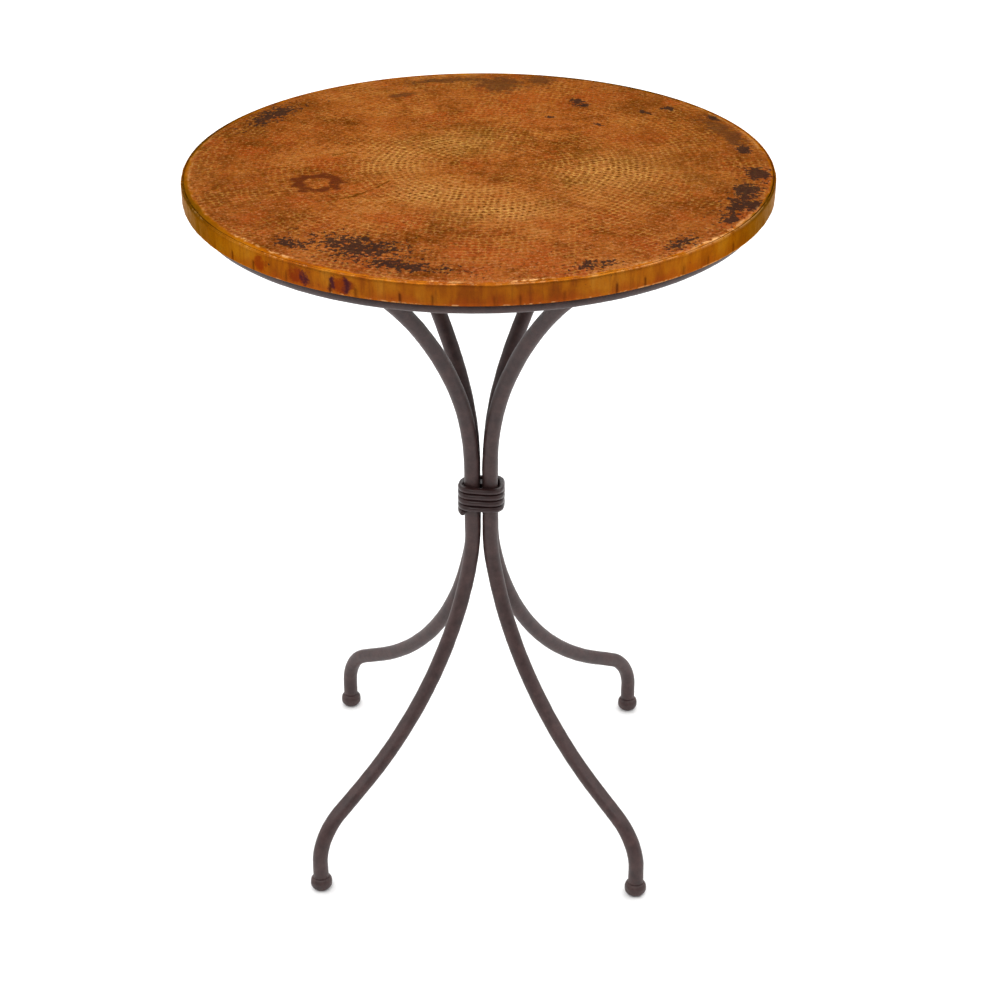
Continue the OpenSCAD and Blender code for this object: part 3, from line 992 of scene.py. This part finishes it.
def collar(material):
    """The rod wound round the waist, with chamfered cut ends."""
    count = 620
    turn = np.linspace(0, math.radians(WRAP_ANGLE_DEG), count)
    centres = wrap_path(turn)
    run = wrap_path(turn + 0.01) - wrap_path(turn - 0.01)
    out = np.column_stack([run[:, 1], -run[:, 0], np.zeros(count)])
    out /= np.linalg.norm(out, axis=1)[:, None]
    upward = np.tile([0, 0, 1.0], (count, 1))
    radii = np.full(count, WRAP_ROD_R)
    radii[[0, -1]] -= 0.9 * MM
    points, circle, faces = tube_mesh(centres, out, upward, radii, 20)
    points = forged(points, circle, 0.35 * MM, 90)
    faces = [tuple(reversed(face)) for face in faces]
    piece = new_piece("collar_rod", points, faces, material)
    place_piece(piece, "collar_iron", "collar_wrap")


# ---------- welds and fastenings ----------


def waist_welds(material):
    """Lumpy beads in the gaps between the bars, below the collar."""
    rolls = np.linspace(0.15, math.pi - 0.15, 14)
    profile = [(WAIST_WELD_R * math.sin(roll), -WAIST_WELD_R * math.cos(roll)) for roll in rolls]
    beads = []
    for azimuth_deg in TAB_AZIMUTHS.values():
        points, outward, faces = revolved(profile, 24)
        points = forged(points, outward, 0.9 * MM, 100 + azimuth_deg)
        drop = WAIST_WELD_DROP * (1 + math.sin(math.radians(azimuth_deg))) / 2
        points = points + [WAIST_WELD_REACH, 0, WAIST_WELD_TOP - drop]
        beads.append((points @ turned(azimuth_deg), faces))
    points, faces = joined(beads)
    place_piece(new_piece("waist_beads", points, faces, material), "iron", "waist_welds")


def ring_welds(material):
    """Rippled beads round the sides and the underside of each leg's tip."""
    count = 61
    sweep = np.linspace(-RING_WELD_ANGLE / 2, RING_WELD_ANGLE / 2, count)[:, None]
    end_r, end_z, _ = leg_path()[-1]
    across = np.array([math.cos(TIP_TILT), 0, -math.sin(TIP_TILT)])
    along = np.array([math.sin(TIP_TILT), 0, math.cos(TIP_TILT)])
    outward = across * np.cos(sweep) + np.array([0, 1, 0]) * np.sin(sweep)
    centres = np.array([end_r, 0, end_z]) + TIP_END_R * outward
    ripple = 0.9 + 0.1 * np.sin(11 * sweep[:, 0])
    upward = np.tile(along, (count, 1))
    points, _, faces = tube_mesh(centres, outward, upward, RING_WELD_R * ripple, 12)
    beads = [(points.reshape(-1, 3) @ turned(angle), faces) for angle in LEG_AZIMUTHS.values()]
    points, faces = joined(beads)
    place_piece(new_piece("ring_beads", points, faces, material), "iron", "ring_welds")


def lug(name, azimuth_deg, material):
    """A flat mounting tab with rounded corners and softened edges."""
    edge_mm = ((1.0, 0), (0.3, 0.3), (0, 1.0), (0, 3.0), (0.3, 3.7), (1.0, 4.0))
    half_l = TAB_LEN / 2 - TAB_CORNER
    half_w = TAB_W / 2 - TAB_CORNER
    turns = np.radians(np.arange(0, 360, 9))
    corner_x = np.where(np.cos(turns) >= 0, half_l, -half_l)
    corner_y = np.where(np.sin(turns) >= 0, half_w, -half_w)
    rows = []
    for inset, z in edge_mm:
        r = TAB_CORNER - inset * MM
        x = (TAB_INNER_R + TAB_OUTER_R) / 2 + corner_x + r * np.cos(turns)
        y = corner_y + r * np.sin(turns)
        rows.append(np.column_stack([x, y, np.full(len(turns), UNDER_Z - TAB_T + z * MM)]))
    faces = capped_band(len(rows), len(turns))
    piece = new_piece("lug_" + name, np.vstack(rows) @ turned(azimuth_deg), faces, material)
    place_piece(piece, "iron", "tab_" + name)


def screws(material):
    """Pan-head wood screws with a cross recess, up through the lugs."""
    disc_rows = 14
    columns = 6 * disc_rows
    flat, faces, last_row = disc_mesh(disc_rows, SCREW_HEAD_R - 0.6 * MM)
    r = np.hypot(flat[:, 0], flat[:, 1])
    in_cross = np.minimum(np.abs(flat[:, 0]), np.abs(flat[:, 1])) < CROSS_HALF_W
    recess = np.where(in_cross & (r < CROSS_REACH), CROSS_DEPTH, 0)
    dome = 0.7 * MM * (r / SCREW_HEAD_R) ** 2
    rows = [np.column_stack([flat, dome + recess])]
    circle = unit_circle(even_angles(columns))
    side = [
        (SCREW_HEAD_R - 0.1 * MM, 1.1 * MM),
        (SCREW_HEAD_R, 1.8 * MM),
        (SCREW_HEAD_R, SCREW_HEAD_T),
        (SCREW_R, SCREW_HEAD_T),
        (SCREW_R, SCREW_HEAD_T + SCREW_LEN - SCREW_POINT_LEN),
        (0.5 * MM, SCREW_HEAD_T + SCREW_LEN),
    ]
    rows += [circle * radius + [0, 0, z] for radius, z in side]
    faces += band_faces(len(side) + 1, columns, last_row)
    points = np.vstack(rows)
    faces.append(tuple(range(len(points) - columns, len(points))))
    points = points + [SCREW_REACH, 0, UNDER_Z - TAB_T - SCREW_HEAD_T]
    points, faces = joined([(points @ turned(angle), faces) for angle in TAB_AZIMUTHS.values()])
    place_piece(new_piece("pan_screws", points, faces, material), "screw_steel", "tab_screws")


def tacks(material):
    """Domed copper tacks that hold the folded lip."""
    profile = []
    for share in (0.05, 0.3, 0.55, 0.78, 0.93, 1.0):
        profile.append((TACK_HEAD_R * share, -TACK_HEAD_T * math.sqrt(1 - share**2)))
    profile.append((0.9 * MM, 0.1 * MM))
    profile.append((0.3 * MM, TACK_LEN))
    points, _, faces = revolved(profile, 24)
    points = points + [TACK_REACH, 0, UNDER_Z]
    turns = [(i + 0.5) * 360 / TACK_COUNT for i in range(TACK_COUNT)]
    points, faces = joined([(points @ turned(angle), faces) for angle in turns])
    place_piece(new_piece("tacks", points, faces, material), "tack_copper", "lip_tacks")


# ---------- the other materials ----------


def iron_material(name, dark, light, gloss):
    """Forged iron under a thin wax finish, mottled and slightly pitted."""
    n = Nodes(name)
    mottle = n.noise(60, 5, 0.65)
    fine = n.noise(380, 4, 0.6)
    base = n.ramp(mottle, (0.34, dark), (0.66, light))
    base = n.mix(n.math("MULTIPLY", n.step(fine, 0.45, 0.7), 0.4), base, dark)
    roughness = n.blend_sum((1.0, gloss), (mottle, 0.25))
    normal = n.bump(mottle, 0.8 * MM, 0.5)
    normal = n.bump(fine, 0.25 * MM, 0.5, normal)
    return n.finish(
        Base_Color=base, Metallic=0.0, IOR=1.41, Roughness=roughness, Normal=normal
    )


def plywood_material():
    """Raw board: long grain, with a slightly different tone for each stave."""
    stave_w = 62 * MM
    n = Nodes("plywood")
    place = n.add("ShaderNodeSeparateXYZ")
    n.feed(place.inputs[0], n.place)
    stave = n.add("ShaderNodeTexWhiteNoise", noise_dimensions="1D")
    n.feed(stave.inputs["W"], n.math("FLOOR", n.math("DIVIDE", place.outputs[1], stave_w)))
    long_grain = n.noise(14, 6, 0.65, (1, 14, 1))
    grain = n.blend_sum((long_grain, 0.8), (stave.outputs["Value"], 0.2))
    base = n.ramp(grain, (0.3, "4a3523"), (0.5, "5d452f"), (0.7, "6c5138"))
    normal = n.bump(grain, 0.4 * MM, 0.4)
    return n.finish(Base_Color=base, Roughness=0.7, Normal=normal)


def steel_material():
    """Zinc plate, dull and faintly streaked."""
    n = Nodes("zinc_plate")
    streak = n.noise(300, 3, 0.6)
    base = n.ramp(streak, (0.3, "8a8c90"), (0.7, "b4b6b8"))
    roughness = n.math("ADD", 0.3, n.math("MULTIPLY", streak, 0.2))
    return n.finish(Base_Color=base, Metallic=1.0, Roughness=roughness)


def dull_copper_material():
    """Tack heads, darker than the sheet."""
    n = Nodes("tack_copper")
    cloud = n.noise(400, 4, 0.6)
    base = n.ramp(cloud, (0.3, "5a3318"), (0.7, "8f5528"))
    return n.finish(Base_Color=base, Metallic=1.0, Roughness=0.45, Normal=n.bump(cloud, 0.2 * MM))


def dress_node(node, material):
    """A CAD node that stays gets a better material."""
    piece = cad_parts[node]
    piece.data.materials.clear()
    piece.data.materials.append(material)


# ---------- floor, lights and camera ----------

FLOOR_HALF = 14
CAMERA_PLACE = (0.1026, -2.4337, 1.9181)
CAMERA_HEADING_DEG = 1.80
CAMERA_DOWN_DEG = 29.89
CAMERA_ROLL_DEG = -0.17
CAMERA_LENS = 71.6


def floor():
    """A pale studio floor."""
    n = Nodes("studio_floor")
    shade = n.noise(3, 3, 0.5)
    base = n.ramp(shade, (0.3, "f2f2f2"), (0.7, "f6f6f6"))
    material = n.finish(Base_Color=base, Roughness=0.9)
    mesh = bpy.data.meshes.new("floor")
    corners = [(x * FLOOR_HALF, y * FLOOR_HALF, 0) for x, y in ((-1, -1), (1, -1), (1, 1), (-1, 1))]
    mesh.from_pydata(corners, [], [(0, 1, 2, 3)])
    mesh.materials.append(material)
    plane = bpy.data.objects.new("floor", mesh)
    bpy.context.scene.collection.objects.link(plane)


def area_light(name, place, target, width, height, power):
    """A rectangular lamp at place that faces target; its power is in watts."""
    light = bpy.data.lights.new(name, "AREA")
    light.shape = "RECTANGLE"
    light.size = width
    light.size_y = height
    light.energy = power
    lamp = bpy.data.objects.new(name, light)
    lamp.location = place
    lamp.rotation_euler = (Vector(target) - Vector(place)).to_track_quat("-Z", "Y").to_euler()
    bpy.context.scene.collection.objects.link(lamp)


def studio():
    """Dim light all round, a soft ceiling, a panel on each side and a small front light."""
    world = bpy.data.worlds.new("studio")
    world.use_nodes = True
    background = world.node_tree.nodes["Background"]
    background.inputs["Color"].default_value = (1, 1, 1, 1)
    background.inputs["Strength"].default_value = 0.50
    bpy.context.scene.world = world
    area_light("ceiling", (0, 3.2, 4.5), (0, 3.2, 0), 9, 13, 660)
    area_light("left", (-3.6, 0.2, 1.7), (0, 0.2, 0.5), 3.0, 1.8, 30)
    area_light("right", (3.6, 0.2, 1.7), (0, 0.2, 0.5), 3.0, 1.8, 26)
    area_light("glint", (-0.6, -2.6, 3.2), (0, 0, 1.0), 0.5, 0.5, 22)
    bpy.context.scene.view_settings.view_transform = "Standard"


def camera():
    """Stands where the photograph was taken from."""
    data = bpy.data.cameras.new("camera")
    data.lens = CAMERA_LENS
    data.sensor_width = 36
    eye = bpy.data.objects.new("camera", data)
    heading = Matrix.Rotation(math.radians(CAMERA_HEADING_DEG), 4, "Z")
    down = Matrix.Rotation(math.radians(90 - CAMERA_DOWN_DEG), 4, "X")
    roll = Matrix.Rotation(math.radians(CAMERA_ROLL_DEG), 4, "Z")
    eye.matrix_world = Matrix.Translation(CAMERA_PLACE) @ heading @ down @ roll
    bpy.context.scene.collection.objects.link(eye)
    bpy.context.scene.camera = eye


# ---------- putting it together ----------

camera()
studio()
floor()

copper = copper_material()
iron = iron_material("forged_iron", "2e1d1c", "46312f", 0.36)
collar_iron = iron_material("collar_iron", "241313", "361f1e", 0.22)

top = copper_top(copper)
place_piece(top, "copper", "copper_skin")
for corner_name, azimuth in LEG_AZIMUTHS.items():
    leg(corner_name, azimuth, iron)
    foot(corner_name, azimuth, iron)
ring_rod(iron)
collar(collar_iron)
waist_welds(iron)
ring_welds(iron)
for tab_name, azimuth in TAB_AZIMUTHS.items():
    lug(tab_name, azimuth, iron)
screws(steel_material())
tacks(dull_copper_material())
dress_node("waist_spacer", collar_iron)
dress_node("wood_core", plywood_material())
